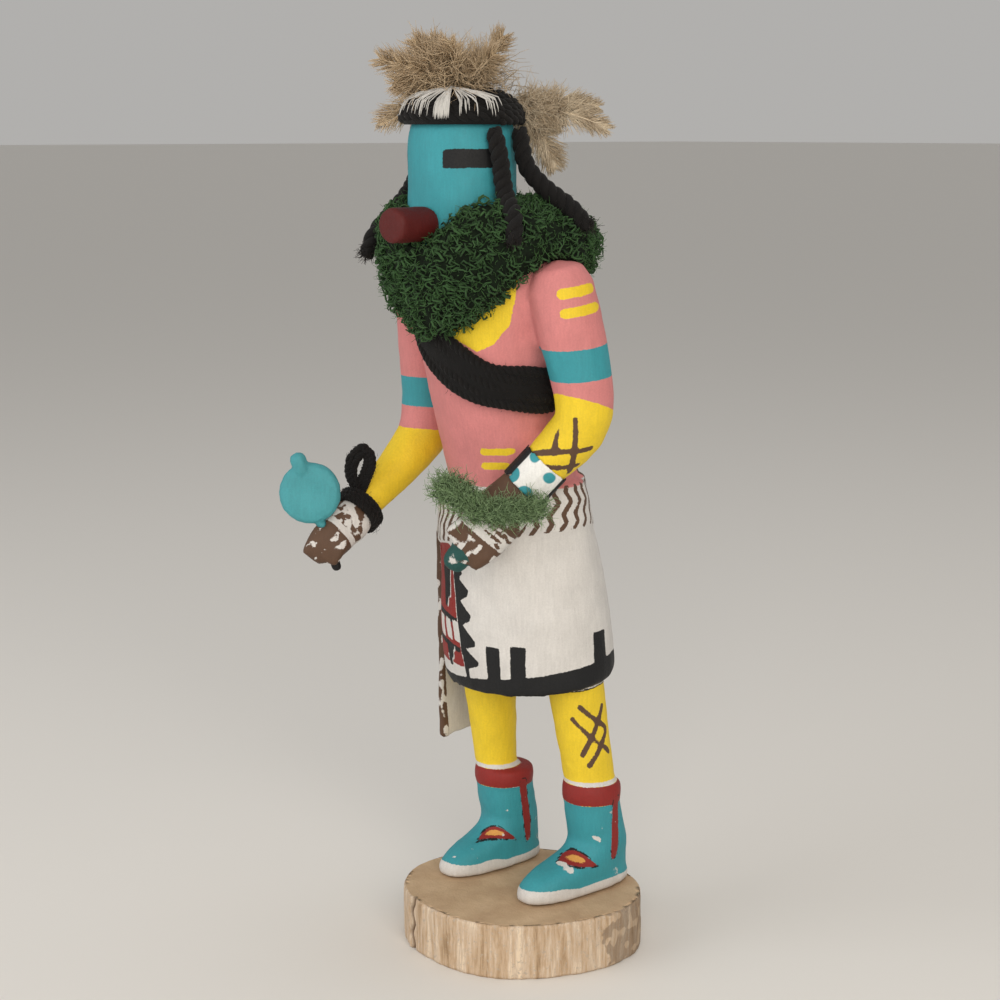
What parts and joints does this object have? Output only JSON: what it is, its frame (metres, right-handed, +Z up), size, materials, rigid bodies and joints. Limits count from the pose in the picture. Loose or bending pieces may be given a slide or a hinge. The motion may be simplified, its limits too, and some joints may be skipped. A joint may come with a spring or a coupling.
{
  "type": "kachina doll",
  "caption": "Painted wooden kachina doll with a turquoise mask, wool ruff, yarn hair, feathers and rattle, standing on a slice of branch",
  "frame": {"origin": "middle of the branch slice's underside, on the surface that it stands on", "axes": "+Z up, the doll faces -Y, its left hand is on the +X side"},
  "size_m": [0.0864, 0.0918, 0.2805],
  "materials": {
    "bare_wood": "sawn end grain and stripped bark side, matt",
    "acrylic_paint": "brushed matt acrylic paint on carved root wood",
    "red_paint": "dark red matt acrylic paint",
    "turquoise_paint": "turquoise matt acrylic paint, slightly chipped",
    "white_paint": "white matt acrylic paint with turquoise dots",
    "green_wool": "curly dark green wool yarn",
    "black_yarn": "twisted black wool yarn",
    "brown_feather": "soft downy brown and cream feathers",
    "white_feather": "fine white feather barbs"
  },
  "bodies": {
    "root": {"base_slab": "bare_wood", "carved_figure": "acrylic_paint", "snout_tube": "red_paint", "gourd_rattle": "turquoise_paint", "bow_guard": "white_paint", "evergreen_yarn": "green_wool", "wrist_yarn": "black_yarn", "bandolier": "black_yarn", "yarn_ruff": "green_wool", "hair_cap": "black_yarn", "left_front_braid": "black_yarn", "left_rear_braid": "black_yarn", "right_braid": "black_yarn", "crown_feathers": "brown_feather", "forehead_feathers": "white_feather", "back_feathers": "brown_feather"}
  },
  "joints": []
}
